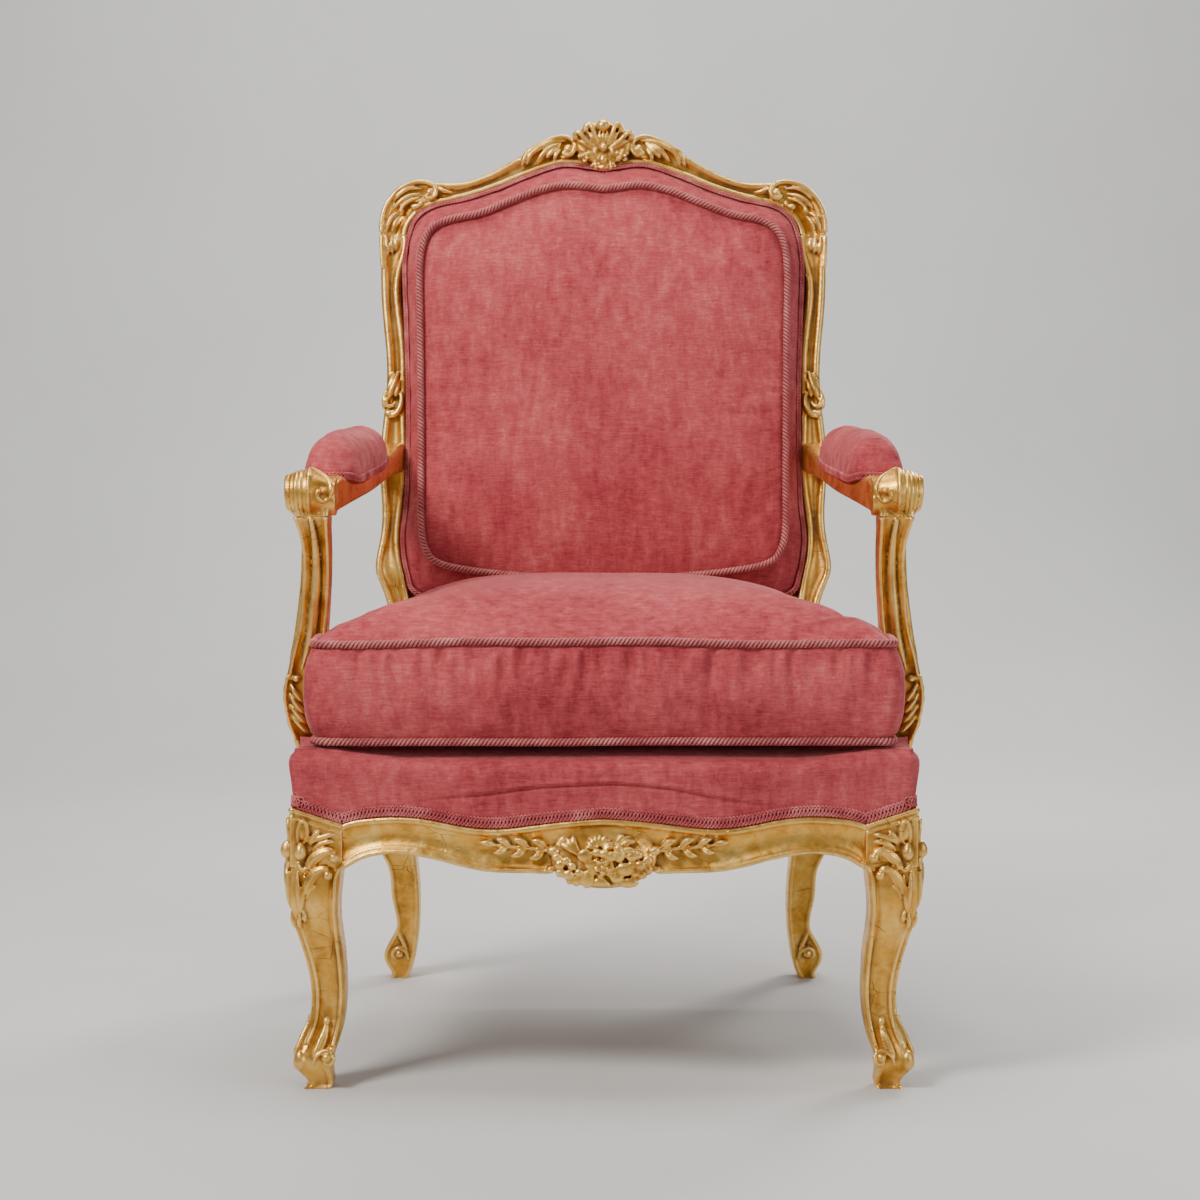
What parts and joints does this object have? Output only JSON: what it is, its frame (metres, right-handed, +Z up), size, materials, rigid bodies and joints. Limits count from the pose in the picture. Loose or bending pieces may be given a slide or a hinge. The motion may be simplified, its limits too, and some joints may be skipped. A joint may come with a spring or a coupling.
{
  "type": "armchair",
  "caption": "Carved and gilded armchair with cabriole legs, a raked upholstered back, padded arms and a loose, rope-piped velvet seat cushion that slides out forward.",
  "frame": {"origin": "middle of the bounding box on the floor", "axes": "+X to the viewer's right, +Y to the back, +Z up"},
  "size_m": [0.6562, 0.647, 1.0292],
  "materials": {
    "giltwood": "water-gilded gold leaf over bole on carved beech, rubbed and finely cracked",
    "bare_beech": "plain unfinished beech, inside the seat frame",
    "velvet": "old rose pile velvet",
    "rope_piping": "twisted silk rope",
    "gimp_braid": "woven braid",
    "webbing": "woven jute webbing",
    "hessian": "open-weave hessian",
    "horsehair": "curled hair stuffing"
  },
  "bodies": {
    "frame": {"arm_left": "giltwood", "arm_pad_cover_left": "velvet", "arm_pad_cover_right": "velvet", "arm_pad_gimp_left": "gimp_braid", "arm_pad_gimp_right": "gimp_braid", "arm_pad_stuffing_left": "horsehair", "arm_pad_stuffing_right": "horsehair", "arm_right": "giltwood", "arm_support_left": "giltwood", "arm_support_right": "giltwood", "back_border": "velvet", "back_cord": "rope_piping", "back_gimp": "gimp_braid", "back_hessian": "hessian", "back_lower_rail": "giltwood", "back_panel": "velvet", "back_stuffing": "horsehair", "back_webs_crosswise": "webbing", "back_webs_upright": "webbing", "crest_rail": "giltwood", "frame_pegs": "bare_beech", "front_corner_blocks": "bare_beech", "front_leg_left": "giltwood", "front_leg_right": "giltwood", "front_rail": "giltwood", "outside_back": "velvet", "outside_back_gimp": "gimp_braid", "rear_corner_blocks": "bare_beech", "rear_post_left": "giltwood", "rear_post_right": "giltwood", "rear_rail": "bare_beech", "seat_cover": "velvet", "seat_gimp": "gimp_braid", "seat_hessian": "hessian", "seat_stuffing": "horsehair", "seat_webs_crosswise": "webbing", "seat_webs_lengthwise": "webbing", "side_rail_left": "giltwood", "side_rail_right": "giltwood"},
    "cushion": {"cushion_bottom": "velvet", "cushion_boxing": "velvet", "cushion_cord_lower": "rope_piping", "cushion_cord_upper": "rope_piping", "cushion_filling": "horsehair", "cushion_top": "velvet"}
  },
  "joints": [
    {"name": "cushion_slide", "type": "slide", "parent": "frame", "child": "cushion", "axis": [0, -1, 0], "range_m": [0, 0.5]}
  ]
}
